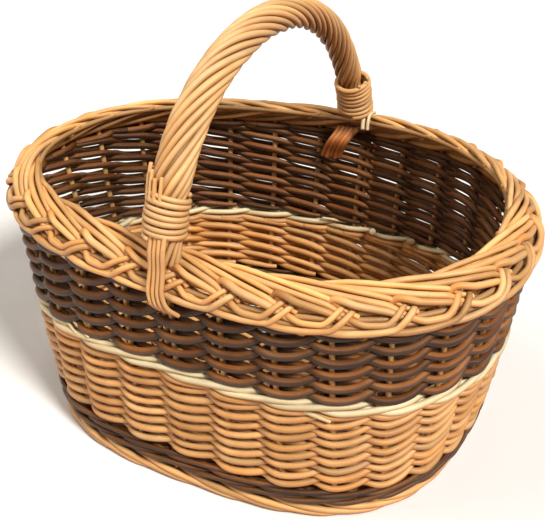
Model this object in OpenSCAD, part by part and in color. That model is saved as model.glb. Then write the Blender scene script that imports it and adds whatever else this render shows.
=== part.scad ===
// Woven willow market basket: oval body on a foot border, banded randed sides,
// plaited border and a fixed roped bow handle bound to the border at both feet.
// Millimetres. +Z up, the foot stands on z = 0, +X along the length of the basket.

/* [Body] */
// outside length over the border, mm
basket_length = 470; // [460:2:480]
// outside width the border oval is drawn to, mm
basket_width = 351.6; // [346:1.2:358]
// height of the middle of the border above the table, mm
border_height = 210; // [206:1:214]
// thickness of the woven side, mm
wall_thickness = 13; // [12.6:0.2:13.4]

/* [Border] */
// width of the plaited border across its section, mm
border_w = 42.3; // [41:0.1:43]
// tilt of the border section, outward and down, degrees
border_tilt = 42.7; // [41:0.1:44]
// diameter of the crossing rods of the plait, mm
crossing_d = 4.4; // [4:0.1:4.4]

/* [Stakes] */
// number of side stakes
stake_n = 28; // [28:1:28]
// diameter of a side stake, mm
stake_d = 4.8; // [4.2:0.1:4.8]

/* [Handle] */
// rise of the handle's centre line above its feet, mm
handle_rise = 153.6; // [148:0.4:160]
// half the distance between the handle's feet, mm
handle_half = 154.7; // [153.7:0.1:155.2]
// diameter of the bow inside the roping, mm
bow_d = 18.2; // [16:0.2:18.2]
// diameter of a roping rod, mm
rope_d = 5.4; // [4.8:0.1:5.4]
// roping turn, degrees per millimetre of handle
rope_turn = 2.12; // [1.8:0.02:2.2]

/* [Base] */
// diameter of the split cross sticks, mm
cross_d = 8; // [7.6:0.1:8]
// diameter of the long sticks threaded through them, mm
long_d = 4; // [3.4:0.1:4]

/* [Hidden] */

buff = [0.78, 0.53, 0.27];
cream = [0.90, 0.80, 0.58];
brown = [0.36, 0.22, 0.13];

// moves the drawing so that the origin is under the middle of the whole basket
ox = -1.52;
oy = 4.12;

H = border_height;
W = wall_thickness;
N = stake_n;
sr = stake_d / 2;
hx = norm([border_w / 2 * cos(border_tilt), 8.8 * sin(border_tilt)]);

// ---- the shape of the basket ------------------------------------------------
function Rp(t, a, b, n) = pow(pow(abs(cos(t)) / a, n) + pow(abs(sin(t)) / b, n), -1 / n);
function k3(t) = 1 - 0.007 * cos(3 * t) - 0.034 * sin(3 * t);
function zt(t) = 5.3 * cos(t) - 2.2 * sin(t) + 3.5 * cos(2 * t) + 2.4 * sin(2 * t);
function Rr(t) = k3(t) * Rp(t, basket_length / 2, basket_width / 2, 2.181);
function mix(a, b, u) = a + (b - a) * u;
function unit(v) = v / norm(v);

// a point in the side: angle t, height fraction s, depth i in from the outer face
function wall(t, s, i) = let (
    rb = Rp(t, 184.9, 163.9, 2.8) - i,
    rt = Rr(t) - 4 - i,
    m = pow(s, 0.76))
  [mix(rb * cos(t + 3.0) + 0.1, rt * cos(t), m) - ox,
   mix(rb * sin(t + 3.0) + 6.7, rt * sin(t), m) - oy,
   s * (H - 5.8 + zt(t))];

// a point in the border: a outward-down along the section, b up out of it
function sec(t, a, b) = let (
    r = Rr(t) - hx + a * cos(border_tilt) + b * sin(border_tilt))
  [r * cos(t) - ox, r * sin(t) - oy,
   H + zt(t) - a * sin(border_tilt) + b * cos(border_tilt)];

// height fraction of the middle of the white wale
function sw(t) = 0.515 - 0.072 * sin(t) + 0.02 * cos(t);

// ---- stakes stand at equal steps along the rim, one under the handle ---------
steps = 360;
function rim(i) = wall(270 + i * 360 / steps, 1, 7);
arc = [for (i = 0, a = 0; i <= steps; a = a + norm(rim(i + 1) - rim(i)), i = i + 1) [a, 270 + i * 360 / steps]];
arc_len = arc[steps][0];
function stake_t(k) = lookup(arc_len * k / N, arc);

far_k = 14;
near_tail = 267.7;
near_liner = 265.4;
far_tail = stake_t(far_k) - 360 - 2.3;
far_liner = far_tail - 2.3;

// half the angle of the slot that holds one stake
function slot_half(t) = asin((sr + 0.8) / (Rp(t, 184.9, 163.9, 2.8) - W));

// slots in the inner face of the side, [start, end]
slots = [for (k = [0:N - 1]) let (t = stake_t(k), h = slot_half(t))
    k == 0 ? [near_liner - h, t + h] :
    k == far_k ? [360 + far_liner - h, t + h] : [t - h, t + h]];
// [angle, depth of the inner face]
slot_i = 7 - sr - 0.5;
ring_samples = [for (k = [0:N - 1]) let (
      s = slots[k], e = k == N - 1 ? slots[0][0] + 360 : slots[k + 1][0])
    each [[s[0] - 0.25, W], [s[0], slot_i], [s[1], slot_i], [s[1] + 0.25, W],
          [(s[1] + e) / 2, W]]];

// ---- mesh builders -------------------------------------------------------------
function ring_faces(n, m) = [for (j = [0:n - 1], k = [0:m - 1]) let (
      j2 = (j + 1) % n, k2 = (k + 1) % m,
      A = j * m + k, B = j * m + k2, C = j2 * m + k2, D = j2 * m + k)
    each [[A, B, C], [A, C, D]]];

function tube_faces(n, m) = [
    for (i = [0:n - 2], k = [0:m - 1]) let (
      k2 = (k + 1) % m,
      A = i * m + k, B = (i + 1) * m + k, C = (i + 1) * m + k2, D = i * m + k2)
    each [[A, B, C], [A, C, D]],
    for (k = [1:m - 2]) [0, k, k + 1],
    for (k = [1:m - 2]) [(n - 1) * m, (n - 1) * m + k + 1, (n - 1) * m + k]];

// one rod: centres P, a side direction U for each, radii R, m sides
module rod(P, U, R, m = 6) {
  n = len(P);
  pts = [for (i = [0:n - 1]) let (
        T = unit(P[min(i + 1, n - 1)] - P[max(i - 1, 0)]),
        u = unit(U[i] - (U[i] * T) * T), v = cross(T, u))
      for (k = [0:m - 1]) P[i] + R[i] * (cos(360 * k / m) * u + sin(360 * k / m) * v)];
  polyhedron(pts, tube_faces(n, m));
}

// one band of the side between two height fractions that follow the angle;
// lv holds [constant, share of sw] pairs
function lev(l, t) = l[0] + l[1] * sw(t);
module band(lv, out = 0) {
  L = len(lv);
  pts = [for (q = ring_samples) let (t = q[0])
      each concat([for (l = lv) wall(t, lev(l, t), -out)],
                  [for (j = [L - 1:-1:0]) wall(t, lev(lv[j], t), q[1])])];
  polyhedron(pts, ring_faces(len(ring_samples), 2 * L));
}

foot_lv = [[0, 0], [0.073, 0]];
upsett_lv = [[0.0747, 0], [0.1520, 0]];
buff_lv = [[0.1537, 0], [0.062, 0.5], [-0.0300, 1]];
white_lv = [[-0.0283, 1], [0.0300, 1]];
dark_lv = [[0.0317, 1], [0.48, 0.5], [0.935, 0]];

// the same breaks for everything that stands in the side
stake_lv = [[0.0740, 0], [0.1528, 0], [0.062, 0.5], [-0.0292, 1], [0.0308, 1], [0.48, 0.5], [0.925, 0]];

module upright(t, first, r, top = true) {
  base = first == 0 ? [mix(wall(t, 0, 7), wall(t, 0.074, 7), 0.15)] : [];
  P = concat(base, [for (j = [first:len(stake_lv) - 1]) wall(t, lev(stake_lv[j], t), 7)]);
  U = [for (p = P) [-sin(t), cos(t), 0]];
  rod(P, U, [for (p = P) r]);
}

// ---- base ----------------------------------------------------------------------
base_z = 11;
module in_base() translate([0.1 - ox, 6.7 - oy, base_z]) rotate([0, 0, 3.0]) children();
cross_x = [for (i = [-4:4]) i * 33];
function cross_half(x) = 149.4 * pow(1 - pow(abs(x) / 170.4, 2.8), 1 / 2.8) - 4.5;
long_y = [-9, -3, 3, 9];

module base_long_sticks() {
  color(buff) in_base() for (y = long_y)
    translate([-163.5, y, 0]) rotate([0, 90, 0]) cylinder(h = 327, d = long_d, $fn = 48);
}

module base_cross_sticks() {
  color(buff) in_base() for (x = cross_x)
    difference() {
      translate([x, -cross_half(x), 0]) rotate([-90, 0, 0]) cylinder(h = 2 * cross_half(x), d = cross_d, $fn = 48);
      translate([x - 10, -12.5, -2.35]) cube([20, 25, 4.7]);
    }
}

module base_weave() {
  color(buff) in_base() difference() {
    translate([0, 0, -3.8]) linear_extrude(height = 7.6)
      polygon([for (t = [0:6:354]) (Rp(t, 184.9, 163.9, 2.8) - W - 1.5) * [cos(t), sin(t)]]);
    for (x = cross_x)
      translate([x, -cross_half(x) - 0.5, 0]) rotate([-90, 0, 0])
        cylinder(h = 2 * cross_half(x) + 1, d = cross_d + 0.7, $fn = 48);
    for (y = long_y)
      translate([-164, y, 0]) rotate([0, 90, 0]) cylinder(h = 328, d = long_d + 0.6, $fn = 48);
  }
}

// ---- side ----------------------------------------------------------------------
module foot_border() { color(buff) band(foot_lv); }
module upsett_wale() { color(brown) band(upsett_lv); }
module buff_siding() { color(buff) band(buff_lv); }
module white_wale() { color(cream) band(white_lv, 0.6); }
module dark_siding() { color(brown) band(dark_lv); }

module side_stakes() {
  color(buff) for (k = [0:N - 1]) upright(stake_t(k), 0, sr);
}
module near_handle_liner() { color(buff) upright(near_liner, 1, sr); }
module far_handle_liner() { color(buff) upright(far_liner, 1, sr); }

// cut ends of the wale rods inside the far side
module white_wale_butts() {
  color(cream) for (t = [83, 68]) {
    P = [for (i = [13.4, 16.5, 19.5]) wall(t + (i - 13.4) * 0.5, sw(t) - 0.005, i)];
    rod(P, [for (p = P) [0, 0, 1]], [2.5, 2.5, 2.4], 8);
  }
}

// ---- border --------------------------------------------------------------------
near_foot_t = 268.15;
far_foot_t = 91.7;
// 1 where a handle foot stands, 0 away from it
function foot_w(t) = let (d = min(abs(t - near_foot_t), abs(t - far_foot_t)))
  d <= 2.4 ? 1 : d >= 5.6 ? 0 : (5.6 - d) / 3.2;
border_t = [for (t = [0:5:80]) t, 84, 86.1, 89.3, 91.7, 94.1, 97.3, for (t = [100:5:255]) t,
  259, 262.5, 265.7, 268.1, 270.6, 273.8, for (t = [277:4.88:356]) t];

module border_ring(a0, a1, ain0, ain1, lift) {
  m = 8;
  pts = [for (t = border_t) let (
        w = foot_w(t), lo = mix(a0, ain0, w), hi = mix(a1, ain1, w),
        ac = (lo + hi) / 2, ah = (hi - lo) / 2,
        b0 = mix(-8.6, -8.6 + lift, w), bc = (b0 + 3.9) / 2, bh = (3.9 - b0) / 2)
      for (k = [0:m - 1]) sec(t, ac + ah * cos(360 * k / m), bc + bh * sin(360 * k / m))];
  polyhedron(pts, ring_faces(len(border_t), m));
}

module inner_border_plait() {
  color(buff) border_ring(-border_w / 2, -3, -border_w / 2, -8.5, 0);
}
module outer_border_plait() {
  color(buff) border_ring(3, border_w / 2, 16, border_w / 2, 3.7);
}

// one rod of the plait crosses the border between each two stakes, none at the handle feet
module border_crossing_rods() {
  color(buff) for (k = [0:N - 1]) if (k != N - 1 && k != far_k - 1) {
    t0 = stake_t(k);
    t1 = k == N - 1 ? 630 : stake_t(k + 1);
    q = [[0.35, -13], [0.52, -6], [0.68, 1], [0.84, 8], [0.98, 14]];
    P = [for (p = q) sec(mix(t0, t1, p[0]), p[1], p[1] > 10 ? 5.7 : 4.15 + crossing_d / 2)];
    rod(P, [for (p = q) [0, 0, 1]], [for (p = q) crossing_d / 2]);
  }
}

// ---- handle --------------------------------------------------------------------
he = 2 / 2.06;
function taper(t) = 1.03 - 0.25 * t / 180;
function arch(t) = let (c = sign(cos(t)) * pow(abs(cos(t)), he), s = pow(abs(sin(t)), he))
  [-4.9 - 0.3 * c - ox, -handle_half * c - 8.3 * s - oy, H - 4.7 + handle_rise * s];
function arch_T(t) = unit(arch(t + 0.5) - arch(t - 0.5));
function arch_N(t) = cross(arch_T(t), [1, 0, 0]);
arch_arc = [for (t = 0, a = 0; t <= 180; a = a + norm(arch(t + 1) - arch(t)), t = t + 1) [t, a]];

// point beside a foot: r out from the middle of the border, z above it
function at_foot(t, r, z) = sec(t, r * cos(border_tilt) - z * sin(border_tilt), r * sin(border_tilt) + z * cos(border_tilt));

module handle_bow() {
  R = bow_d / 2;
  mid = [for (t = [9:5.4:171]) t];
  near = [for (j = [3:6]) wall(near_tail, lev(stake_lv[j], near_tail), 7)];
  far = [for (j = [6:-1:3]) wall(far_tail, lev(stake_lv[j], far_tail), 7)];
  P = concat(near,
    [at_foot(near_foot_t - 0.2, 3.2, -11), at_foot(near_foot_t, 1.2, -2), at_foot(near_foot_t, 1.2, 6), at_foot(near_foot_t, 1.6, 13.5)],
    [for (t = mid) arch(t)],
    [at_foot(far_foot_t, -4.2, 14.5), at_foot(far_foot_t, 0.3, 7), at_foot(far_foot_t, 1.2, -2), at_foot(far_foot_t - 0.3, 3.2, -11)],
    far);
  rr = concat([1.6, 2, 2.3, sr], [2.6, 3, 3.5, 4.2], [for (t = mid) R * taper(t)], [4, 3.5, 3, 2.6], [sr, 2.3, 2, 1.6]);
  color(buff) rod(P, [for (p = P) [1, 0, 0]], rr, 12);
}

rope_r = 12.6;
rope_t = [8.2, 13, 18, 22.5, 26.8, for (t = [31:4:155]) t, 158.5, 162, 167, 172.4];
function in_binding(t) = t < 27.2 || t > 160.5;
module wrap_rod(i) {
  P = [for (t = rope_t) let (f = 30 * i - rope_turn * lookup(t, arch_arc))
      arch(t) + (in_binding(t) ? 10.6 : rope_r * taper(t)) * (cos(f) * arch_N(t) + sin(f) * [1, 0, 0])];
  U = [for (t = rope_t) let (f = 30 * i - rope_turn * lookup(t, arch_arc)) cos(f) * arch_N(t) + sin(f) * [1, 0, 0]];
  color(buff) rod(P, U, [for (t = rope_t) in_binding(t) ? 1.15 : rope_d / 2 * taper(t)]);
}
module handle_wrap_rod_01() { wrap_rod(0); }
module handle_wrap_rod_02() { wrap_rod(1); }
module handle_wrap_rod_03() { wrap_rod(2); }
module handle_wrap_rod_04() { wrap_rod(3); }
module handle_wrap_rod_05() { wrap_rod(4); }
module handle_wrap_rod_06() { wrap_rod(5); }
module handle_wrap_rod_07() { wrap_rod(6); }
module handle_wrap_rod_08() { wrap_rod(7); }
module handle_wrap_rod_09() { wrap_rod(8); }
module handle_wrap_rod_10() { wrap_rod(9); }
module handle_wrap_rod_11() { wrap_rod(10); }
module handle_wrap_rod_12() { wrap_rod(11); }

// a rod coiled round the handle from arch angle t0 to t1
module coil(t0, t1, turns, R, r, start) {
  n = round(turns * 12);
  A = [for (i = [0:n]) let (t = mix(t0, t1, i / n), f = start + i * 30) [t, f]];
  P = [for (q = A) arch(q[0]) + R * (cos(q[1]) * arch_N(q[0]) + sin(q[1]) * [1, 0, 0])];
  U = [for (q = A) cos(q[1]) * arch_N(q[0]) + sin(q[1]) * [1, 0, 0]];
  rod(P, U, [for (q = A) r]);
}
module near_binding() { color(buff) coil(11.7, 25.2, 6, 15.5, 2.0, 200); }
module far_binding() { color(buff) coil(173.1, 162.6, 5, 14.1, 1.8, 20); }

// strands that run on from the near binding down over the border
module near_tie_strands() {
  q = [[-4.4, 1.7], [-2.0, 1.3], [0.6, 1.6], [3.6, 2.0]];
  color(buff) for (p = q) {
    r = p[1];
    g = [[4, 9.2], [10, 9.2], [16, 8.2], [20.5, 4.6], [23.0, -0.5], [21.5, -6]];
    P = [for (j = [0:5]) sec(near_foot_t + p[0] + (j > 3 ? (j - 3) * 0.5 : 0), g[j][0] + (j > 3 ? r - 1 : 0), g[j][1] + (j < 4 ? r - 1.3 : 0))];
    rod(P, [for (w = P) [1, 0, 0]], [for (w = P) r]);
  }
}

// strands from the far foot: over the inner edge of the border
module far_tie_strands() {
  color(cream) for (p = [[-6.2, 1.6], [-8.4, 1.3]]) {
    g = [[-14, 6.6], [-19, 5.6], [-22.8, 2.2], [-24.2, -3.5], [-22.6, -9.5]];
    P = [for (j = [0:4]) sec(far_foot_t + p[0] - (j > 1 ? (j - 1) * 0.35 : 0), g[j][0], g[j][1])];
    rod(P, [for (w = P) [1, 0, 0]], [for (w = P) p[1]]);
  }
}
// and down inside the dark siding, leaning to one side
module far_inside_tails() {
  color(buff) for (i = [0:3]) {
    t0 = far_foot_t + 1.2 + i * 2.1;
    P = [for (j = [0:4]) wall(t0 + j * 0.8, [0.915, 0.895, 0.87, 0.84, 0.81][j] - 0.006 * i, 15.4)];
    rod(P, [for (w = P) [1, 0, 0]], [for (w = P) 1.7]);
  }
}

// cut tips of the binding rods
module near_wrap_tips() {
  color(cream) for (p = [[236, 20, 29], [216, 19, 27.5], [196, 20, 28.5]]) {
    P = [for (j = [0:2]) let (t = mix(p[1], p[2], j / 2)) arch(t) + 19.6 * (cos(p[0]) * arch_N(t) + sin(p[0]) * [1, 0, 0])];
    rod(P, [for (w = P) [1, 1, 0]], [1.5, 1.5, 1.4]);
  }
}
module far_wrap_tips() {
  color(cream) for (p = [[60, 168, 163], [84, 168.5, 162], [108, 168, 162.5], [250, 167, 162]]) {
    P = [for (j = [0:2]) let (t = mix(p[1], p[2], j / 2)) arch(t) + 17.8 * (cos(p[0]) * arch_N(t) + sin(p[0]) * [1, 0, 0])];
    rod(P, [for (w = P) [1, 1, 0]], [1.4, 1.4, 1.3]);
  }
}

base_long_sticks();
base_cross_sticks();
base_weave();
foot_border();
upsett_wale();
buff_siding();
white_wale();
dark_siding();
side_stakes();
near_handle_liner();
far_handle_liner();
inner_border_plait();
outer_border_plait();
border_crossing_rods();
handle_bow();
handle_wrap_rod_01();
handle_wrap_rod_02();
handle_wrap_rod_03();
handle_wrap_rod_04();
handle_wrap_rod_05();
handle_wrap_rod_06();
handle_wrap_rod_07();
handle_wrap_rod_08();
handle_wrap_rod_09();
handle_wrap_rod_10();
handle_wrap_rod_11();
handle_wrap_rod_12();
near_binding();
far_binding();
near_tie_strands();
far_tie_strands();
far_inside_tails();
near_wrap_tips();
far_wrap_tips();
white_wale_butts();
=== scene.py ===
import math
import bpy
import numpy as np
from mathutils import Matrix, Vector


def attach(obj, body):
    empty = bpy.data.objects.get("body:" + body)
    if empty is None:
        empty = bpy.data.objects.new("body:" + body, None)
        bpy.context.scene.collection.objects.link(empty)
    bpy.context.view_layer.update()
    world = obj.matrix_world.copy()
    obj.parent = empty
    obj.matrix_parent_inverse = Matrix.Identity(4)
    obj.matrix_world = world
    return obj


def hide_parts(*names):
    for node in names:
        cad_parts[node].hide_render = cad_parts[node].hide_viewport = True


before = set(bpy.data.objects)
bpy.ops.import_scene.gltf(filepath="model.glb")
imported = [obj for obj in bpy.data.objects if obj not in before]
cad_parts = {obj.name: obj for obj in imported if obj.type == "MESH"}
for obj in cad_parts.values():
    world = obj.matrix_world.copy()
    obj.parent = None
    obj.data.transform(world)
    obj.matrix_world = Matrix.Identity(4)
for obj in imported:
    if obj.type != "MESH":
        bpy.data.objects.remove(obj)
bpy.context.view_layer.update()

rng = np.random.default_rng(20261117)
MM = 0.001

# ------------------------------------------------------------------ basket form
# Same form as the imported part, in millimetres, then metres in the meshes.
OX, OY = -1.52, 4.12
H = 210.0
NST = 28
TAU = math.radians(42.7)
HX = math.hypot(42.3 / 2 * math.cos(TAU), 8.8 * math.sin(TAU))


def Rp(t, a, b, n):
    return ((np.abs(np.cos(t)) / a) ** n + (np.abs(np.sin(t)) / b) ** n) ** (-1.0 / n)


def k3(t):
    return 1 - 0.007 * np.cos(3 * t) - 0.034 * np.sin(3 * t)


def zt(t):
    return 5.3 * np.cos(t) - 2.2 * np.sin(t) + 3.5 * np.cos(2 * t) + 2.4 * np.sin(2 * t)


def Rr(t):
    return k3(t) * Rp(t, 235.0, 175.8, 2.181)


def wall_t(t, s, inset):
    rb = Rp(t, 184.9, 163.9, 2.8) - inset
    rt = Rr(t) - 4.0 - inset
    m = np.maximum(s, 0.0) ** 0.76
    x0 = rb * np.cos(t + math.radians(3.0)) + 0.1
    y0 = rb * np.sin(t + math.radians(3.0)) + 6.7
    x = x0 + (rt * np.cos(t) - x0) * m - OX
    y = y0 + (rt * np.sin(t) - y0) * m - OY
    return np.stack([x, y, s * (H - 5.8 + zt(t))], -1)


def zscale(t):
    return H - 5.8 + zt(t)


# stake coordinate: 0 under the handle on the near side, one per stake, counterclockwise
_tt = np.radians(270 + np.arange(0, 361, 0.5))
_rim = wall_t(_tt, np.ones_like(_tt), 7.0)
_arc = np.concatenate([[0], np.cumsum(np.linalg.norm(np.diff(_rim, axis=0), axis=1))])
PER = float(np.interp(math.radians(630), _tt, _arc))


def th(kap):
    kap = np.asarray(kap, float)
    turn = np.floor(kap / NST)
    return np.interp((kap - turn * NST) * PER / NST, _arc, _tt) + turn * 2 * math.pi


def kap_of(t_deg):
    t = math.radians(t_deg)
    while t < math.radians(270):
        t += 2 * math.pi
    while t > math.radians(630):
        t -= 2 * math.pi
    return float(np.interp(t, _tt, _arc)) * NST / PER


def wall_k(kap, s, o):
    """Point in the side at stake coordinate kap, height fraction s, o mm out from the stakes' line; and the way out."""
    t = th(kap)
    s = np.maximum(np.asarray(s, float) + 0 * t, 0.004)
    P = wall_t(t, s, 7.0)
    dt = wall_t(t + 0.004, s, 7.0) - wall_t(t - 0.004, s, 7.0)
    ds = wall_t(t, s + 0.003, 7.0) - wall_t(t, s - 0.003, 7.0)
    n = np.cross(dt, ds)
    n /= np.linalg.norm(n, axis=-1, keepdims=True)
    return P + np.asarray(o, float)[..., None] * n, n


def sec_k(kap, a, b):
    """Point in the border section: a outward-down, b up out of it."""
    t = th(kap)
    r = Rr(t) - HX + a * math.cos(TAU) + b * math.sin(TAU)
    return np.stack([r * np.cos(t) - OX, r * np.sin(t) - OY, H + zt(t) - a * math.sin(TAU) + b * math.cos(TAU)], -1)


def pch(x, xs, ys):
    """Smooth monotone interpolation through points."""
    xs = np.asarray(xs, float)
    ys = np.asarray(ys, float)
    h = np.diff(xs)
    d = np.diff(ys) / h
    m = np.zeros_like(xs)
    for i in range(1, len(xs) - 1):
        if d[i - 1] * d[i] > 0:
            w1, w2 = 2 * h[i] + h[i - 1], h[i] + 2 * h[i - 1]
            m[i] = (w1 + w2) / (w1 / d[i - 1] + w2 / d[i])
    m[0], m[-1] = d[0], d[-1]
    x = np.clip(x, xs[0], xs[-1])
    k = np.clip(np.searchsorted(xs, x) - 1, 0, len(h) - 1)
    q = (x - xs[k]) / h[k]
    return (ys[k] * (1 + 2 * q) * (1 - q) ** 2 + h[k] * m[k] * q * (1 - q) ** 2
            + ys[k + 1] * q * q * (3 - 2 * q) + h[k] * m[k + 1] * q * q * (q - 1))


def cat(x, xs, ys):
    """Smooth interpolation through points, rounder than pch."""
    xs = np.asarray(xs, float)
    ys = np.asarray(ys, float)
    m = np.gradient(ys, xs, axis=0)
    x = np.clip(x, xs[0], xs[-1])
    k = np.clip(np.searchsorted(xs, x) - 1, 0, len(xs) - 2)
    h = xs[k + 1] - xs[k]
    q = (x - xs[k]) / h
    if ys.ndim == 2:
        q, h = q[:, None], h[:, None]
    return (ys[k] * (1 + 2 * q) * (1 - q) ** 2 + h * m[k] * q * (1 - q) ** 2
            + ys[k + 1] * q * q * (3 - 2 * q) + h * m[k + 1] * q * q * (q - 1))


def wander(u, step, size):
    """Smooth random wandering along u."""
    n = int((u[-1] - u[0]) / step) + 4
    kn = rng.normal(0, size, n)
    return cat(u, u[0] + step * (np.arange(n) - 1), kn)


# ------------------------------------------------------------------ rods
class Rods:
    """Collects rods into one mesh, with where each point is along and round its rod, and its colour, which carries
    painted shade on the undersides and painted highlights on the tops.
    """

    # under and over: per colour channel, how strongly painted shade darkens the rods' undersides and painted highlights
    # lighten their tops
    def __init__(self, under=(0.58, 0.78, 0.92), over=(0.18, 0.32, 0.58)):
        self.v, self.f, self.co, self.col, self.uv, self.n = [], [], [], [], [], 0
        self.strips = []
        self.under, self.over = under, over

    def rod(self, P, R, col, m=12, ends=(1, 1), first=None, flat=1.0):
        """P points in mm, R radii in mm, col one colour or one per point. ends is not used: both ends are always cut
        square.
        """
        P = np.asarray(P, float)
        n = len(P)
        R = np.broadcast_to(np.asarray(R, float), (n,)).copy()
        col = np.asarray(col, float)
        if col.ndim == 1:
            col = np.repeat(col[None], n, 0)
        T = np.gradient(P, axis=0)
        T /= np.maximum(np.linalg.norm(T, axis=1, keepdims=True), 1e-9)
        # rings near the ends: a small chamfer, and the end itself
        s = np.concatenate([[0], np.cumsum(np.linalg.norm(np.diff(P, axis=0), axis=1))])
        ref = np.array(first if first is not None else ([0, 0, 1] if abs(T[0, 2]) < 0.9 else [1, 0, 0]), float)
        u = ref - (ref @ T[0]) * T[0]
        u /= np.linalg.norm(u)
        U = np.empty_like(P)
        U[0] = u
        for i in range(1, n):
            u = u - (u @ T[i]) * T[i]
            u /= np.linalg.norm(u)
            U[i] = u
        V = np.cross(T, U)
        rings, sc, rr, cc, tt = [P], [s], [R], [col], None
        # end rings
        c0 = min(0.6, R[0] * 0.3)
        c1 = min(0.6, R[-1] * 0.3)
        P2 = np.concatenate([[P[0] - T[0] * c0 * 0.7], P, [P[-1] + T[-1] * c1 * 0.7]])
        R2 = np.concatenate([[max(R[0] - c0, 0.05)], R, [max(R[-1] - c1, 0.05)]])
        U2 = np.concatenate([[U[0]], U, [U[-1]]])
        V2 = np.concatenate([[V[0]], V, [V[-1]]])
        s2 = np.concatenate([[-c0], s, [s[-1] + c1]])
        C2 = np.concatenate([[col[0]], col, [col[-1]]])
        n2 = n + 2
        ang = 2 * math.pi * np.arange(m) / m
        ca, sa = np.cos(ang), np.sin(ang)
        ring = P2[:, None] + R2[:, None, None] * (ca[None, :, None] * U2[:, None] + flat * sa[None, :, None] * V2[:, None])
        verts = ring.reshape(-1, 3)
        seed = rng.uniform(0, 10, 3)
        lc = np.empty((n2, m, 3))
        lc[:, :, 0] = s2[:, None] * MM
        lc[:, :, 1] = R2[:, None] * MM * ca[None]
        lc[:, :, 2] = R2[:, None] * MM * sa[None]
        self.co.append(np.concatenate([lc.reshape(-1, 3), [[s2[0] * MM, 0, 0], [s2[-1] * MM, 0, 0]]]) + seed * 0.1)
        nz = (ca[None] * U2[:, None, 2] + sa[None] * V2[:, None, 2]).reshape(-1, 1)
        # painted light: rods are painted paler on their upward-facing sides as a painted highlight, and deeper and
        # redder on their downward-facing sides as painted shade
        painted_shade_below = np.clip((0.45 - nz) / 1.2, 0, 1)
        painted_highlight_above = np.clip((nz - 0.35) / 0.65, 0, 1)
        painted_light_gain = (1 - painted_shade_below * np.array(self.under)) * (1 + painted_highlight_above * np.array(self.over))
        cv = np.clip(np.repeat(C2, m, 0) * painted_light_gain, 0.003, 0.95)
        self.col.append(np.concatenate([cv, [C2[0], C2[-1]]]))
        self.v.append(np.concatenate([verts, [P2[0], P2[-1]]]))
        b = self.n
        i = np.arange(n2 - 1)[:, None] * m
        k = np.arange(m)[None]
        k2 = (k + 1) % m
        quads = np.stack([b + i + k, b + i + k2, b + i + m + k2, b + i + m + k], -1).reshape(-1, 4)
        tri = []
        for q in range(m):
            tri.append([b + n2 * m, b + (q + 1) % m, b + q])
            tri.append([b + n2 * m + 1, b + (n2 - 1) * m + q, b + (n2 - 1) * m + (q + 1) % m])
        self.f.append((quads, np.array(tri)))
        # strip layout for the texture atlas
        self.strips.append((n2, m, s2, float(R2.mean())))
        self.n += n2 * m + 2

    def build(self, name, mat, replaces=()):
        V = np.concatenate(self.v) * MM
        me = bpy.data.meshes.new(name)
        nq = sum(len(q) for q, t in self.f)
        nt = sum(len(t) for q, t in self.f)
        loops = np.concatenate([x.reshape(-1) for q, t in self.f for x in (q, t)])
        sizes = np.concatenate([x for q, t in self.f for x in (np.full(len(q), 4), np.full(len(t), 3))])
        starts = np.concatenate([[0], np.cumsum(sizes)[:-1]])
        me.vertices.add(len(V))
        me.vertices.foreach_set("co", V.astype(np.float32).ravel())
        me.loops.add(len(loops))
        me.loops.foreach_set("vertex_index", loops.astype(np.int32))
        me.polygons.add(nq + nt)
        me.polygons.foreach_set("loop_start", starts.astype(np.int32))
        me.polygons.foreach_set("loop_total", sizes.astype(np.int32))
        me.update(calc_edges=True)
        me.polygons.foreach_set("use_smooth", np.concatenate([x for q, t in self.f for x in (np.ones(len(q), bool), np.zeros(len(t), bool))]))
        a = me.attributes.new("rodco", "FLOAT_VECTOR", "POINT")
        a.data.foreach_set("vector", np.concatenate(self.co).astype(np.float32).ravel())
        c = me.color_attributes.new("tint", "FLOAT_COLOR", "POINT")
        cc = np.concatenate(self.col)
        c.data.foreach_set("color", np.concatenate([cc, np.ones((len(cc), 1))], 1).astype(np.float32).ravel())
        self.layout(me)
        me.validate(clean_customdata=False)
        me.materials.append(mat)
        ob = bpy.data.objects.new(name, me)
        bpy.context.scene.collection.objects.link(ob)
        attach(ob, "root")
        if replaces:
            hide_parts(*replaces)
        return ob

    def layout(self, me):
        """A texture layout that gives each rod its own strips, cut into equal lengths and stacked."""
        SEG = 0.25
        rows = []  # (strip, first ring, last ring, height)
        for si, (n2, m, s2, r) in enumerate(self.strips):
            s = (s2 - s2[0]) * MM
            nseg = max(1, int(math.ceil(s[-1] / SEG)))
            cuts = [int(np.searchsorted(s, s[-1] * q / nseg)) for q in range(nseg + 1)]
            cuts[-1] = n2 - 1
            for q in range(nseg):
                if cuts[q + 1] > cuts[q]:
                    rows.append((si, cuts[q], cuts[q + 1], 2 * math.pi * r * MM))
        total = sum(h + 0.0015 for *_, h in rows)
        cols = max(1, int(round(math.sqrt(total / SEG))))
        colh = total / cols * 1.03 + 0.03
        place, x, y = {}, 0, 0.0
        for si, a, b2, h in rows:
            if y + h > colh:
                x, y = x + 1, 0.0
            place[(si, a)] = (x, y, h, b2)
            y += h + 0.0015
        ncol = x + 1
        W, Hh = ncol * (SEG * 1.06), colh
        S = 1.0 / max(W, Hh)
        uv = []
        for si, (n2, m, s2, r) in enumerate(self.strips):
            s = (s2 - s2[0]) * MM
            segs = sorted((a, v) for (q, a), v in place.items() if q == si) if len(self.strips) < 400 else None
            if segs is None:
                segs = self._segs(place)[si]
            row = np.zeros(n2 - 1, int)
            xs = np.zeros(n2 - 1)
            ys = np.zeros(n2 - 1)
            s0 = np.zeros(n2 - 1)
            hh = np.zeros(n2 - 1)
            for a, (cx, cy, h, b2) in segs:
                xs[a:b2] = cx * SEG * 1.06
                ys[a:b2] = cy
                s0[a:b2] = s[a]
                hh[a:b2] = h
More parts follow.
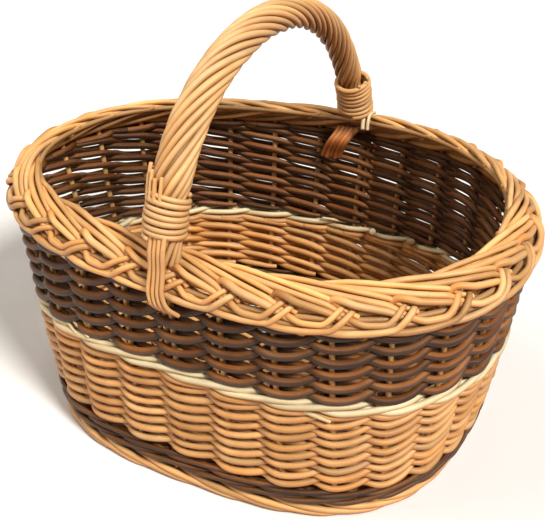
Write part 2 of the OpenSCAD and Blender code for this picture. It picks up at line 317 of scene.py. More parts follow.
            i = np.arange(n2 - 1)[:, None]
            k = np.arange(m)[None]
            u0 = (xs + s[:-1] - s0)[:, None] + 0 * k
            u1 = (xs + s[1:] - s0)[:, None] + 0 * k
            v0 = ys[:, None] + hh[:, None] * k / m
            v1 = ys[:, None] + hh[:, None] * (k + 1) / m
            q = np.stack([u0, v0, u0, v1, u1, v1, u1, v0], -1).reshape(-1, 4, 2)
            t = np.zeros((2 * m, 3, 2))
            # both cut ends sit on tiny spots beside the strip's ends
            ex0 = xs[0] - 0.001
            ex1 = xs[-1] + s[-1] - s0[-1] + 0.001
            for kk in range(m):
                for z, ex, yy in ((2 * kk, ex0, ys[0] + hh[0] / 2), (2 * kk + 1, ex1, ys[-1] + hh[-1] / 2)):
                    a0 = 2 * math.pi * kk / m
                    a1 = 2 * math.pi * (kk + 1) / m
                    t[z, 0] = (ex, yy)
                    t[z, 1] = (ex + 0.0008 * math.cos(a0), yy + 0.0008 * math.sin(a0))
                    t[z, 2] = (ex + 0.0008 * math.cos(a1), yy + 0.0008 * math.sin(a1))
            uv.append(q.reshape(-1, 2))
            uv.append(t.reshape(-1, 2))
        uv = np.concatenate(uv) * S + 0.001
        lay = me.uv_layers.new(name="OFBake")
        lay.data.foreach_set("uv", uv.astype(np.float32).ravel())

    def _segs(self, place):
        if not hasattr(self, "_sg"):
            self._sg = {}
            for (q, a), v in place.items():
                self._sg.setdefault(q, []).append((a, v))
            for q in self._sg:
                self._sg[q].sort()
        return self._sg


# ------------------------------------------------------------------ materials
def willow(name, rough=0.42, streak=0.35, speck=0.5, bump=0.25, coat=0.0, bark=False):
    m = bpy.data.materials.new(name)
    m.use_nodes = True
    nt = m.node_tree
    nt.nodes.clear()
    N, L = nt.nodes, nt.links
    out = N.new("ShaderNodeOutputMaterial")
    bs = N.new("ShaderNodeBsdfPrincipled")
    L.new(bs.outputs[0], out.inputs[0])
    co = N.new("ShaderNodeAttribute"); co.attribute_name = "rodco"
    # tint holds each rod's colour, with painted shade on its undersides and painted highlights on its tops mixed in
    ti = N.new("ShaderNodeAttribute"); ti.attribute_name = "tint"

    def mapping(sx, syz):
        mp = N.new("ShaderNodeMapping")
        mp.inputs["Scale"].default_value = (sx, syz, syz)
        L.new(co.outputs["Vector"], mp.inputs["Vector"])
        return mp

    def noise(mp, scale, detail, rough_=0.55):
        nz = N.new("ShaderNodeTexNoise")
        nz.inputs["Scale"].default_value = scale
        nz.inputs["Detail"].default_value = detail
        nz.inputs["Roughness"].default_value = rough_
        L.new(mp.outputs[0], nz.inputs["Vector"])
        return nz

    def ramp(src, stops):
        r = N.new("ShaderNodeValToRGB")
        e = r.color_ramp.elements
        while len(e) < len(stops):
            e.new(0.5)
        for k, (p, c) in enumerate(stops):
            e[k].position = p
            e[k].color = (*c, 1) if len(c) == 3 else c
        L.new(src, r.inputs["Fac"])
        return r

    def mul(a, b, fac=1.0):
        x = N.new("ShaderNodeMix")
        x.data_type = "RGBA"
        x.blend_type = "MULTIPLY"
        x.inputs["Factor"].default_value = fac
        L.new(a, x.inputs["A"])
        L.new(b, x.inputs["B"])
        return x.outputs["Result"]

    # fine grain that runs along the rod
    fine = noise(mapping(14, 1), 900, 3)
    g = 1.0
    r1 = ramp(fine.outputs["Fac"], [(0.28, (1 - streak * 0.55, 1 - streak * 0.62, 1 - streak * 0.7)), (0.72, (1 + streak * 0.25,) * 3)])
    # broad patches of colour along the rod
    broad = noise(mapping(1, 1), 38, 2)
    r2 = ramp(broad.outputs["Fac"], [(0.3, (1 - streak * 0.5, 1 - streak * 0.75, 1 - streak * 1.0)), (0.55, (1, 1, 1)), (0.75, (1 + streak * 0.3, 1 + streak * 0.32, 1 + streak * 0.3))])
    # small dark bud scars and spots
    sp = noise(mapping(0.8, 1), 420, 2)
    r3 = ramp(sp.outputs["Fac"], [(0.0, (1 - speck, 1 - speck, 1 - speck)), (0.235, (1 - speck, 1 - speck, 1 - speck)), (0.275, (1, 1, 1))])
    c = mul(ti.outputs["Color"], r1.outputs["Color"])
    c = mul(c, r2.outputs["Color"])
    c = mul(c, r3.outputs["Color"])
    L.new(c, bs.inputs["Base Color"])
    # satin that varies along the rod
    rr = N.new("ShaderNodeMapRange")
    rr.inputs["From Min"].default_value = 0.3
    rr.inputs["From Max"].default_value = 0.7
    rr.inputs["To Min"].default_value = rough - 0.09
    rr.inputs["To Max"].default_value = rough + 0.12
    L.new(fine.outputs["Fac"], rr.inputs["Value"])
    L.new(rr.outputs["Result"], bs.inputs["Roughness"])
    bs.inputs["Specular IOR Level"].default_value = 0.30 if bark else 0.45
    bs.inputs["Coat Weight"].default_value = coat
    bs.inputs["Coat Roughness"].default_value = 0.3
    bp = N.new("ShaderNodeBump")
    bp.inputs["Strength"].default_value = bump
    bp.inputs["Distance"].default_value = 0.0006
    if bark:
        wr = noise(mapping(5, 1), 520, 3)
        ad = N.new("ShaderNodeMath"); ad.operation = "ADD"
        L.new(fine.outputs["Fac"], ad.inputs[0])
        L.new(wr.outputs["Fac"], ad.inputs[1])
        L.new(ad.outputs[0], bp.inputs["Height"])
    else:
        L.new(fine.outputs["Fac"], bp.inputs["Height"])
    L.new(bp.outputs[0], bs.inputs["Normal"])
    return m


M_BUFF = willow("buff_willow", rough=0.40, streak=0.30)
M_BORDER = willow("border_willow", rough=0.38, streak=0.26)
M_HANDLE = willow("handle_willow", rough=0.40, streak=0.22, speck=0.35)
M_BROWN = willow("brown_willow", rough=0.36, streak=0.42, speck=0.6, bump=0.4, bark=True)
M_WHITE = willow("white_willow", rough=0.42, streak=0.20, speck=0.45)
M_BASE = willow("base_willow", rough=0.5, streak=0.35)

BUFF = np.array([0.60, 0.300, 0.098])
BORD = np.array([0.67, 0.350, 0.120])
HAND = np.array([0.68, 0.385, 0.150])
BROWN = np.array([0.082, 0.034, 0.0115])
WHITE = np.array([0.72, 0.560, 0.310])


def vary(c, light=0.10, warm=0.06):
    """One rod's own colour: a little lighter or darker, redder or yellower."""
    k = 1 + rng.normal(0, light)
    w = rng.normal(0, warm)
    return np.clip(np.array(c) * max(k, 0.5) * np.array([1 + 0.3 * w, 1 - 0.2 * w, 1 - 1.1 * w]), 0.005, 0.95)


def along(c, u, dark=0.12, step=2.0):
    """Colour that drifts along the rod."""
    k = 1 + wander(u, step, dark)
    w = wander(u, step * 1.3, dark * 0.5)
    out = np.asarray(c)[None] * np.clip(k, 0.6, 1.35)[:, None]
    out = out * np.stack([1 + 0.2 * w, 1 - 0.2 * w, 1 - 0.8 * w], 1)
    return np.clip(out, 0.004, 0.97)


# ------------------------------------------------------------------ bands of the side
def sw(t):
    return 0.515 - 0.072 * np.sin(t) + 0.02 * np.cos(t)


S_FOOT = 0.073
S_TOP = 0.965


def up(t):
    return 0.138 + 0.030 * np.cos(t - math.radians(248))
ST_R = 2.5          # stake radius


FACE = math.radians(120)
SWING = ([0, 0.06, 0.2, 0.35, 0.5, 0.6, 0.68, 0.8, 0.92, 1.0], [1, 1.0, 0.93, 0.78, 0.48, 0.24, 0, -0.62, -0.95, -1.0])


def swing(u):
    """1 in front of a stake, -1 behind the next; comes out sharply at the stake and lies back slowly."""
    w = u % 2.0
    back = w > 1.0
    v = pch(np.where(back, w - 1.0, w), *SWING)
    return np.where(back, -v, v)


def close_up(t):
    """How far the inside laps sit above the outside ones, in mm. This is an assumption, not a measured feature:
    FACE and the amounts are tuned so that the far wall closes when seen from the scene's own camera."""
    c, s = np.cos(t), np.sin(t)
    ang = np.arctan2(np.sign(s) * np.abs(s) ** 1.8 / 164 ** 2.8, np.sign(c) * np.abs(c) ** 1.8 / 185 ** 2.8)
    f = np.cos(ang - FACE)
    side = np.clip(np.sin(FACE - ang) * 4, -0.45, 1)
    return np.clip(5.8 * (1 / np.maximum(f, 0.35) - 1), 0, 3.6) * np.clip(f * 4, 0, 1) * side


def randing(rods, z_lo, z_hi, pitch, shape, rad, base_col, A, m=12, light=0.1, warm=0.06, thin=0.012):
    """French randing: one rod starts at each stake, goes in front of one and behind the next, a pitch up each time.
    z_lo, z_hi are height fractions and pitch mm, all functions of the angle. At the top the rods pack and end inside."""
    for j in range(NST):
        r0 = rad * (1 + rng.normal(0, 0.06))
        u = np.arange(-1.15, 30.0, 1 / 20.0)
        cyc = np.floor(u / 2.0)
        lvl = np.where(u < 0, pch(u + 2.0, *shape) - 1.0, cyc + pch(u % 2.0, *shape))
        kap = j + u
        t = th(kap)
        zs = zscale(t)
        base = z_lo(t) * zs + rad * 0.9
        z = base + pitch(t) * np.maximum(lvl, 0.02) + wander(u, 1.0, 0.42)
        top = z_hi(t) * zs - rad * 0.8
        q = (top - z) / 2.2
        z = np.where(q > 6, z, top - 2.2 * np.log1p(np.exp(np.clip(q, -40, 6))) )
        past = np.where((q < -0.6) & (u > 1))[0]
        ue = u[past[0]] if len(past) else u[-1]
        ue = math.ceil((ue - 1.0) / 2.0) * 2.0 + 1.0 + rng.uniform(0.2, 0.5)
        if len(past) and ue - u[past[0]] < 0.9:
            ue += 2.0
        keep = u <= min(ue, u[-1])
        z = z + close_up(t) * np.clip(-swing(u), 0, 1) * np.clip(u / 2, 0, 1)
        o = A * swing(u) + wander(u, 1.0, 0.3)
        R = r0 * (1.05 - thin * u) * (1 + wander(u, 1.5, 0.03))
        R = R * np.clip(0.7 + 0.5 * (u + 1.15), 0, 1) * (pitch(t) / pitch(0.0)) ** 0.4
        P, n = wall_k(kap, z / zs, o)
        c = along(vary(base_col, light, warm), u, 0.09)
        rods.rod(P[keep], R[keep], c[keep], m=m)


def wale(rods, z_mid, rounds, pitch, stroke, rad, base_col, A, lift=1.0, m=12, light=0.08, warm=0.05):
    """Three-rod wale: each rod goes in front of two stakes and behind one."""
    for rnd in range(rounds):
        for j in range(3):
            u = np.arange(-0.6, NST + 1.1, 1 / 20.0)
            kap = u + j + rnd * 0.7
            t = th(kap)
            zs = zscale(t)
            w = (u % 3.0)
            # in front of stakes 0 and 1, behind stake 2
            o = cat(w, [-1, -0.35, 0, 0.5, 1, 1.4, 1.7, 2, 2.65, 3, 4], [-1, 0.1, 1, 1.16, 1, 0.45, -0.45, -1, 0.1, 1, 1]) * A
            lv = cat(w, [-1, 0, 1, 2, 3, 4], [0.1, -0.5, 0.5, 0.1, -0.5, 0.5]) * stroke * lift
            z = z_mid(t) * zs + (rnd - (rounds - 1) / 2) * pitch(t) + lv + wander(u, 1.0, 0.35)
            P, n = wall_k(kap, z / zs, o + wander(u, 1.0, 0.25))
            R = rad * (1 + rng.normal(0, 0.05)) * (1 + wander(u, 1.7, 0.07))
            c = along(vary(base_col, light, warm), u, 0.08)
            rods.rod(P, R, c, m=m)


# stakes ---------------------------------------------------------------------------
stakes = Rods()
for k in range(NST):
    # the stakes' colour is paler than the buff rods as painted light, so the stakes read lit where the rods around them
    # shade them
    c = vary(np.array([0.78, 0.48, 0.20]), 0.06, 0.04)
    s = np.linspace(0.02, 0.988, 72)
    P, n = wall_k(np.full(len(s), float(k)), s, np.zeros(len(s)))
    q = np.linspace(0, 1, len(P))
    P = P + np.stack([wander(q, 0.12, 0.25), wander(q, 0.12, 0.25), 0 * q], 1)
    stakes.rod(P, ST_R * (1.05 - 0.12 * q), along(c, q * 14, 0.06), m=12)
stakes.build("side_stakes", M_BUFF, ["side_stakes"])


def liner(name, tdeg, s0, s1, r, col):
    rd = Rods()
    s = np.linspace(s0, s1, 50)
    P, n = wall_k(np.full(len(s), kap_of(tdeg)), s, np.full(len(s), -0.2))
    rd.rod(P, r, along(vary(col, 0.05, 0.04), s * 12, 0.06), m=12)
    rd.build(name, M_BUFF, [name])


far_k = 14
FAR_TAIL = math.degrees(float(th(far_k))) - 360 - 2.3
liner("near_handle_liner", 265.4, 0.05, 0.95, 2.3, BUFF)
liner("far_handle_liner", FAR_TAIL - 2.3, 0.05, 0.95, 2.3, BUFF * [1.0, 0.8, 0.7])

# foot border ----------------------------------------------------------------------
foot = Rods()
for k in range(NST):
    u = np.linspace(-0.45, 2.75, 60)
    z = cat(u, [-0.45, 0.0, 0.5, 1.2, 2.0, 2.4, 2.75], [11.0, 10.6, 9.4, 5.6, 3.1, 3.1, 4.4])
    o = cat(u, [-0.45, 0.0, 0.35, 1.2, 2.0, 2.4, 2.75], [-5.0, 0.6, 3.6, 4.1, 3.4, -0.6, -4.6])
    kap = k + u + rng.normal(0, 0.04)
    t = th(kap)
    P = wall_t(t, z / zscale(t), 7.0)
    tn = np.stack([np.cos(t), np.sin(t), 0 * t], -1)
    dt = wall_t(t + 0.004, z / zscale(t), 7.0) - wall_t(t - 0.004, z / zscale(t), 7.0)
    tn = np.cross(dt, [0, 0, 1.0])
    tn /= np.linalg.norm(tn, axis=1, keepdims=True)
    P = P + o[:, None] * tn
    P[:, 2] = np.maximum(z + wander(u, 0.8, 0.15), 2.95)
    R = 2.85 * (1 - 0.05 * np.clip(u, 0, 3)) * (1 + rng.normal(0, 0.03))
    R = np.minimum(R, P[:, 2] - 0.02)
    foot.rod(P, R, along(vary(BORD, 0.08, 0.05), u, 0.08), m=12)
# a second run inside, out of sight from in front, which the foot is closed with
for q in range(2):
    u = np.arange(0, NST + 0.05, 0.06)
    t = th(u)
    z = 5.2 + q * 5.0 + 0.6 * np.cos(u * math.pi + q * 2)
    P = wall_t(t, z / zscale(t), 10.6)
    P[:, 2] = z
    foot.rod(P, 2.5, along(vary(BORD * 0.9), u, 0.08), m=10)
foot.build("foot_border", M_BORDER, ["foot_border"])

# upsett ---------------------------------------------------------------------------
# the upsett rods get painted shade on their undersides and painted highlights on their tops
ups = Rods((0.70, 0.78, 0.84), (1.3, 1.2, 1.0))
wale(ups, lambda t: 0.5 * (S_FOOT + up(t)), 2, lambda t: (up(t) - S_FOOT) * zscale(t) * 0.47, 3.6, 2.1, BROWN * 1.0, 4.9, lift=1.0, light=0.16)
ups.build("upsett_wale", M_BROWN, ["upsett_wale"])

# buff siding ----------------------------------------------------------------------
buff = Rods()
BUFF_SHAPE = ([0, 0.12, 0.35, 0.68, 1.0, 1.3, 1.68, 1.85, 2.0], [0, 0.06, 0.24, 0.56, 0.97, 1.07, 1.08, 1.05, 1.0])
randing(buff, lambda t: up(t) - 0.002, lambda t: sw(t) - 0.022, lambda t: 10.6 + 0.9 * np.sin(t), BUFF_SHAPE, 2.82, BUFF, 4.7, light=0.10, thin=0.004, warm=0.08)
buff.build("buff_siding", M_BUFF, ["buff_siding"])

# white wale -----------------------------------------------------------------------
whi = Rods()
wale(whi, lambda t: sw(t), 1, lambda t: 0 * t, 5.2, 2.8, WHITE, 5.1, lift=1.0, light=0.05, warm=0.03)
for k0, k1, dz0, dz1, r0 in ((2.50, 2.97, -6.0, -9.5, 2.3), (25.2, 25.75, 7.0, 3.5, 1.7), (25.5, 26.1, 10.0, 6.0, 1.5), (14.2, 14.75, 5.5, 8.0, 1.8)):
    q = np.linspace(0, 1, 22)
    kap = k0 + (k1 - k0) * q
    t = th(kap)
    inside = 7 < k0 < 20
    o = (2.0 + 5.6 * q) * (-1 if inside else 1)
    P, n = wall_k(kap, sw(t) + (dz0 + (dz1 - dz0) * q) / zscale(t), o)
    whi.rod(P, r0 * (1.0 - 0.45 * q), along(WHITE * [1.0, 0.95, 0.85], q * 2, 0.05), m=12)
whi.build("white_wale", M_WHITE, ["white_wale"])

# dark siding ----------------------------------------------------------------------
# strong painted highlights on the dark rods' tops and painted shade on their undersides
dark = Rods((0.80, 0.86, 0.90), (2.8, 2.4, 1.8))
DARK_SHAPE = ([0, 0.12, 0.4, 0.68, 1.0, 1.35, 1.68, 1.85, 2.0], [0, 0.02, 0.16, 0.53, 0.96, 1.05, 1.06, 1.04, 1.0])
randing(dark, lambda t: sw(t) + 0.026, lambda t: S_TOP + 0 * t, lambda t: 12.0 - 0.9 * np.sin(t), DARK_SHAPE, 3.02, BROWN, 4.7, light=0.26, warm=0.12, thin=0.003)
dark.build("dark_siding", M_BROWN, ["dark_siding"])

butts = Rods()
for tdeg, o0 in ((83.0, -5), (68.0, -5)):
    kk = kap_of(tdeg)
    q = np.linspace(0, 1, 10)
    P0, n = wall_k(np.array([kk]), np.array([sw(math.radians(tdeg)) + 0.002]), np.array([-2.0]))
    P = P0 + (14.0 * q)[:, None] * np.array([0.42, -0.76, 0.50])
    butts.rod(P, 3.7 - 0.2 * q, along(WHITE * 0.92, q * 3, 0.03), m=16)
butts.build("white_wale_butts", M_WHITE, ["white_wale_butts"])

# ------------------------------------------------------------------ plaited border
EA, EB = 18.25, 5.9


def on_top(a, lift):
    """b of a rod's middle on the upper face of the border, lift mm above it."""
    e = EA * 0.96
    ac = np.minimum(a, e)
    b = EB * np.sqrt(np.clip(1 - (ac / EA) ** 2, 0, 1))
    na = ac / EA ** 2
    nb = b / EB ** 2 + 1e-3
    ln = np.hypot(na, nb)
    return a + lift * na / ln, b - 0.75 * np.maximum(a - e, 0) + lift * nb / ln


def bent(ks, a_s, l_s, soft=2.4):
    """A rod laid straight from point to point, each bend rounded a little."""
    ks, a_s, l_s = (np.asarray(q, float) for q in (ks, a_s, l_s))
    d = np.concatenate([[0], np.cumsum(np.hypot(np.diff(ks) * PER / NST, np.diff(a_s)))])
    q = np.arange(0, d[-1], 1.0)
    M = np.stack([np.interp(q, d, c) for c in (ks, a_s, l_s)], 1)
    n = int(soft * 3)
    w = np.exp(-0.5 * (np.arange(-n, n + 1) / soft) ** 2)
    w /= w.sum()
    head = M[0] + (M[0] - M[1]) * np.arange(n, 0, -1)[:, None]
    tail = M[-1] + (M[-1] - M[-2]) * np.arange(1, n + 1)[:, None]
    E = np.concatenate([head, M, tail])
    M = np.stack([np.convolve(E[:, c], w, mode="valid") for c in range(3)], 1)
    keep = np.unique(np.concatenate([np.arange(0, len(M), 2), [len(M) - 1]]))
    return M[keep, 0], M[keep, 1], M[keep, 2]


bor = Rods()
NEARK = kap_of(268.15)
FARK = kap_of(91.7)
for k in range(NST):
    jt = rng.normal(0, 0.03)
    # rod 1: comes up from below, bends over the ends of an earlier pair, runs to the outer edge, under the next pair, and comes round as the lower of a pair
    ka = [-0.16, -0.06, 0.04, 0.22, 0.36, 0.62, 0.90, 1.05, 1.22, 1.42, 1.60, 1.80, 2.10, 2.50, 2.92, 3.10, 3.25, 3.36]
    aa = [4.0, 0.5, -4.2, -1.0, 1.6, 3.8, 6.6, 9.4, 13.2, 17.0, 19.6, 20.9, 21.0, 20.4, 18.9, 13.2, 7.6, 3.2]
    la = [-9.5, -5.5, 0.2, 2.8, 2.2, 0.7, -0.8, -3.8, -5.4, -6.0, -5.2, -3.4, -0.8, 0.3, 0.7, 1.8, -0.2, -5.6]
    # rod 2: long, from the inner edge, comes round as the upper of a pair
    kb = [-1.25, -1.0, -0.64, -0.32, 0.0, 0.5, 0.88, 1.02, 1.14, 1.26, 1.42, 1.80, 1.96, 2.10, 2.24]
    ab = [-16.6, -15.6, -13.2, -10.6, -8.2, -3.4, 0.8, 3.8, 8.0, 12.2, 15.8, 15.8, 10.0, 4.2, -0.6]
    lb = [-5.5, -4.2, -2.0, -0.4, 0.4, 0.4, -0.4, -2.6, -4.6, -3.8, -0.4, 1.0, 1.9, -0.8, -5.8]
    # rod 3: long and thinner, from the inner edge, cut off in the gap
    kc = [-1.9, -1.4, -1.0, -0.64, -0.32, 0.2, 0.68, 0.95, 1.08, 1.2, 1.4]
    ac = [-18.2, -18.2, -18.2, -17.8, -16.4, -12.4, -6.9, -3.4, -1.2, 3.2, 9.0]
    lc = [-7.0, -4.0, -1.2, 0.2, 0.6, 0.7, 0.5, -0.4, -2.4, -4.8, -4.4]
    low_c = [-3.4, -1.6, -0.4, 0, 0, 0, 0, 0, 0, 0, 0]
    for which, kk, a_, l_, r0, r1, cc in (("A", ka, aa, la, 2.95, 2.5, 1.0), ("B", kb, ab, lb, 2.8, 2.5, 1.06), ("C", kc, ac, lc, 2.45, 2.3, 1.12)):
        u, a, l = bent(np.array(kk) + jt, a_, l_)
        a = a + wander(u, 0.9, 0.25)
        a2, b2 = on_top(np.maximum(a, -EA), l + wander(u, 0.9, 0.2))
        if which == "C":
            b2 = b2 + np.interp(u - jt, kk, low_c)
        P = sec_k(k + u, a2, b2)
        q = (u - u[0]) / (u[-1] - u[0])
        R = (r0 + (r1 - r0) * q) * (1 + rng.normal(0, 0.05)) * (1 + wander(u, 0.8, 0.02))
        if which == "C":
            R = R * np.clip(0.7 + 1.2 * q, 0, 1)
        col = along(vary(BORD * cc, 0.12, 0.07), u * 1.5, 0.09)
        if which == "A":
            kink = np.exp(-((u - 0.08 - jt) / 0.14) ** 2)
            col = col * (1 - kink[:, None] * np.array([0.02, 0.20, 0.40]))
        bor.rod(P, R, col, m=14)
bor.build("border_plait", M_BORDER, ["inner_border_plait", "outer_border_plait", "border_crossing_rods"])

under = Rods()
for k in range(NST):
    u = np.arange(-0.1, 1.9, 0.06)
    a = cat(u, [-0.1, 0.3, 1.2, 1.9], [-17.0, -13.0, 5.0, 14.0])
    b = -EB * np.sqrt(np.clip(1 - (a / EA) ** 2, 0, 1)) + 0.4
    under.rod(sec_k(k + u, a, b), 2.5 * (1 + rng.normal(0, 0.05)), along(vary(BORD * 0.86, 0.07, 0.05), u, 0.05), m=10)
for a0, b0, r in ((-10.5, -0.8, 2.6), (-3.5, -1.2, 2.8), (4.0, -1.2, 2.8), (10.5, -1.6, 2.6), (-16.0, -3.2, 2.3), (15.2, -3.2, 2.3)):
    u = np.arange(0, NST + 0.3, 0.06)
    P = sec_k(u, a0 + wander(u, 1.0, 0.4), b0 + wander(u, 1.0, 0.3))
    under.rod(P, r, along(vary(BORD * 0.7, 0.05, 0.05), u, 0.05), m=10)
under.build("border_under_run", M_BORDER)

# ------------------------------------------------------------------ handle
HE = 2 / 2.06


def arch(t):
    c = np.sign(np.cos(t)) * np.abs(np.cos(t)) ** HE
    s = np.abs(np.sin(t)) ** HE
    return np.stack([-4.9 - 0.3 * c - OX, -154.7 * c - 8.3 * s - OY, H - 4.7 + 153.6 * s], -1)


_at = np.radians(np.linspace(0, 180, 721))
_ap = arch(_at)
_al = np.concatenate([[0], np.cumsum(np.linalg.norm(np.diff(_ap, axis=0), axis=1))])
ALEN = float(_al[-1])


def arch_l(l):
    """Point, direction and in-plane normal at length l from the near foot."""
    t = np.interp(l, _al, _at)
    P = arch(t)
    T = arch(t + 0.004) - arch(t - 0.004)
    T /= np.linalg.norm(T, axis=-1, keepdims=True)
    Nn = np.cross(T, [1.0, 0, 0])
    return P, T, Nn


def z_to_l(z, far=False):
    zz = _ap[:, 2]
    half = len(_at) // 2
    if far:
        return float(np.interp(z, zz[half:][::-1], _al[half:][::-1]))
    return float(np.interp(z, zz[:half + 1], _al[:half + 1]))


def around(l, R, phi):
    P, T, Nn = arch_l(l)
    return P + R[:, None] * (np.cos(phi)[:, None] * Nn + np.sin(phi)[:, None] * np.array([1.0, 0, 0]))


def foot_at(deg, r, z):
    """Point beside a handle foot: r out from the middle of the border, z above it."""
    a, c = r * math.cos(TAU) - z * math.sin(TAU), r * math.sin(TAU) + z * math.cos(TAU)
    return sec_k(np.array([kap_of(deg)]), np.array([a]), np.array([c]))[0]


def in_side(t, levels):
    return [wall_t(np.array([t]), np.array([s]), 7.0)[0] for s in levels]


bow = Rods()
l = np.linspace(z_to_l(H + 20), z_to_l(H + 18, True), 150)
P, T, Nn = arch_l(l)
# the pared ends go down through the border and on inside the side, beside a stake
near_leg = in_side(math.radians(267.7), (0.62, 0.74, 0.84, 0.92)) + [foot_at(267.95, 3.2, -11), foot_at(268.15, 1.2, -2), foot_at(268.15, 1.2, 6), foot_at(268.15, 1.6, 13.5)]
far_t = float(th(np.array([14.0]))[0]) - math.radians(2.3)
far_leg = [foot_at(91.7, -4.2, 14.5), foot_at(91.7, 0.3, 7), foot_at(91.7, 1.2, -2), foot_at(91.4, 3.2, -11)] + in_side(far_t, (0.92, 0.84, 0.74, 0.62))
P = np.array(near_leg + list(P) + far_leg)
R = np.concatenate([[1.6, 2.0, 2.3, 2.4, 2.6, 3.0, 3.5, 4.2], 10.4 * (1.02 - 0.29 * np.interp(l, _al, _at) / math.pi), [4.0, 3.5, 3.0, 2.6, 2.4, 2.3, 2.0, 1.6]])
d = np.concatenate([[0], np.cumsum(np.linalg.norm(np.diff(P, axis=0), axis=1))])
q = np.linspace(0, d[-1], 340)
P = np.stack([pch(q, d, P[:, c]) for c in range(3)], 1)
bow.rod(P, pch(q, d, R), along(HAND * 0.6, q / 40, 0.05), m=20)
bow.build("handle_bow", M_HANDLE, ["handle_bow"])

LN0, LN1 = z_to_l(H + 26), z_to_l(H + 61.5)
LF0, LF1 = z_to_l(H + 12, True), z_to_l(H + 46, True)
for i in range(12):
    rd = Rods()
    l = np.arange(z_to_l(H + 8), LF0 - 3, 2.4)
    turn = 0.0352 + 0.010 * np.clip((l - ALEN * 0.35) / (ALEN * 0.65), 0, 1)
    ph = math.radians(30 * i) - np.concatenate([[0], np.cumsum((turn[1:] + turn[:-1]) / 2 * np.diff(l))])
    ph = ph + wander(l / 60, 1.0, 0.035)
    # gathered in at both bindings
    g0 = np.clip((l - (LN1 - 6)) / 16, 0, 1)
    g1 = np.clip(((LF1 + 4) - l) / 14, 0, 1)
    g = np.minimum(g0 * g0 * (3 - 2 * g0), g1 * g1 * (3 - 2 * g1))
    tp = 1.02 - 0.29 * np.interp(l, _al, _at) / math.pi
    Rr_ = 12.9 * tp - 1.6 * (1 - g) * tp + wander(l / 60, 1.0, 0.12)
    r = (3.12 * tp - 0.9 * (1 - g)) * (1 + rng.normal(0, 0.04)) * (1 + wander(l / 80, 1.0, 0.03))
    taper = 1 - 0.10 * ((l - l[0]) / (l[-1] - l[0]) if i % 2 else 1 - (l - l[0]) / (l[-1] - l[0]))
    P = around(l, Rr_, ph)
    rd.rod(P, r * taper, along(vary(HAND, 0.05, 0.05), l / 60, 0.05), m=14)
    nm = "handle_wrap_rod_%02d" % (i + 1)
    rd.build(nm, M_HANDLE, [nm])


def coil(rods, l0, l1, turns, R, r, start, col, shift=(0, 0, 0)):
    n = int(turns * 30)
    q = np.linspace(0, 1, n)
    l = l0 + (l1 - l0) * q + 0.5 * np.sin(q * turns * 2 * math.pi + 1.0)
    ph = start + q * turns * 2 * math.pi
    u = q * turns
    P = around(l + wander(u, 0.45, 0.35), R + wander(u, 0.3, 0.3), ph) + np.array(shift)
    rods.rod(P, r * (1 + wander(u, 0.7, 0.04)), along(vary(col, 0.03, 0.03), u, 0.07), m=12)


nb = Rods()
coil(nb, LN0 + 2.0, LN1 - 0.5, 7.6, 15.4, 2.2, math.radians(200), HAND * 1.04)
nb.build("near_binding", M_HANDLE, ["near_binding"])
fb = Rods()
coil(fb, LF0 - 1, LF1, 7.2, 14.6, 2.3, math.radians(20), HAND * [0.95, 0.88, 0.8], shift=(3.0, 0, 0))
fb.build("far_binding", M_HANDLE, ["far_binding"])

# strands from the near binding down over the border
ties = Rods()
CT, ST = math.cos(TAU), math.sin(TAU)
for off, r, sweep in ((-2.9, 1.9, 5.0), (0.9, 1.75, 6.0), (4.6, 1.8, 7.5), (8.4, 2.0, 10.0)):
    uu = np.linspace(0, 1, 46)
    dz = cat(uu, [0, 0.2, 0.38, 0.55, 0.72, 0.88, 1.0], [36, 22, 9, -2, -12, -22, -29])
    dr = cat(uu, [0, 0.2, 0.38, 0.55, 0.72, 0.88, 1.0], [12.6, 16.4, 17.0, 18.8, 20.8, 19.8, 14.0]) + (r - 2) - 0.012 * (off - 2.7) ** 2
    x = off + sweep * np.clip((uu - 0.62) / 0.38, 0, 1) ** 2 + wander(uu, 0.3, 0.25)
    P = sec_k(NEARK + x * NST / PER, dr * CT - dz * ST, dr * ST + dz * CT)
    ties.rod(P, r * (1 - 0.12 * uu), along(vary(HAND * 1.1, 0.05, 0.03), uu * 3, 0.05), m=12)
ties.build("near_tie_strands", M_HANDLE, ["near_tie_strands"])

fties = Rods()
for dk, r in ((-5.0, 2.0), (-7.0, 1.6)):
    kk0 = kap_of(91.7 + dk)
    uu = np.linspace(0, 1, 36)
    a = cat(uu, [0, 0.3, 0.55, 0.8, 1], [-13, -19, -22.5, -23.2, -21])
    b = cat(uu, [0, 0.3, 0.55, 0.8, 1], [8.6, 5.6, 1.5, -5.0, -12.0])
    P = sec_k(kk0 - 0.12 * uu ** 2, a, b)
    fties.rod(P, r, along(vary(WHITE, 0.03, 0.03), uu * 3, 0.04), m=12)
fties.build("far_tie_strands", M_HANDLE, ["far_tie_strands"])

ftails = Rods()
for i in range(5):
    uu = np.linspace(0, 1, 40)
    kk0 = FARK - 0.12 + 0.105 * i
    dz = cat(uu, [0, 0.2, 0.4, 0.6, 0.8, 1.0], [-2, -8, -13, -19, -26, -34 - 1.5 * (i % 2)])
    dr = cat(uu, [0, 0.2, 0.4, 0.6, 0.8, 1.0], [-10, -15.5, -18.0, -17.0, -13.5, -11.0])
    P = sec_k(kk0 + 0.42 * uu, dr * CT - dz * ST, dr * ST + dz * CT)
    ftails.rod(P, 2.35 * (1 - 0.15 * uu), along(vary(BUFF * [0.95, 0.72, 0.6], 0.06, 0.05), uu * 3, 0.05), m=12)
ftails.build("far_inside_tails", M_HANDLE, ["far_inside_tails"])

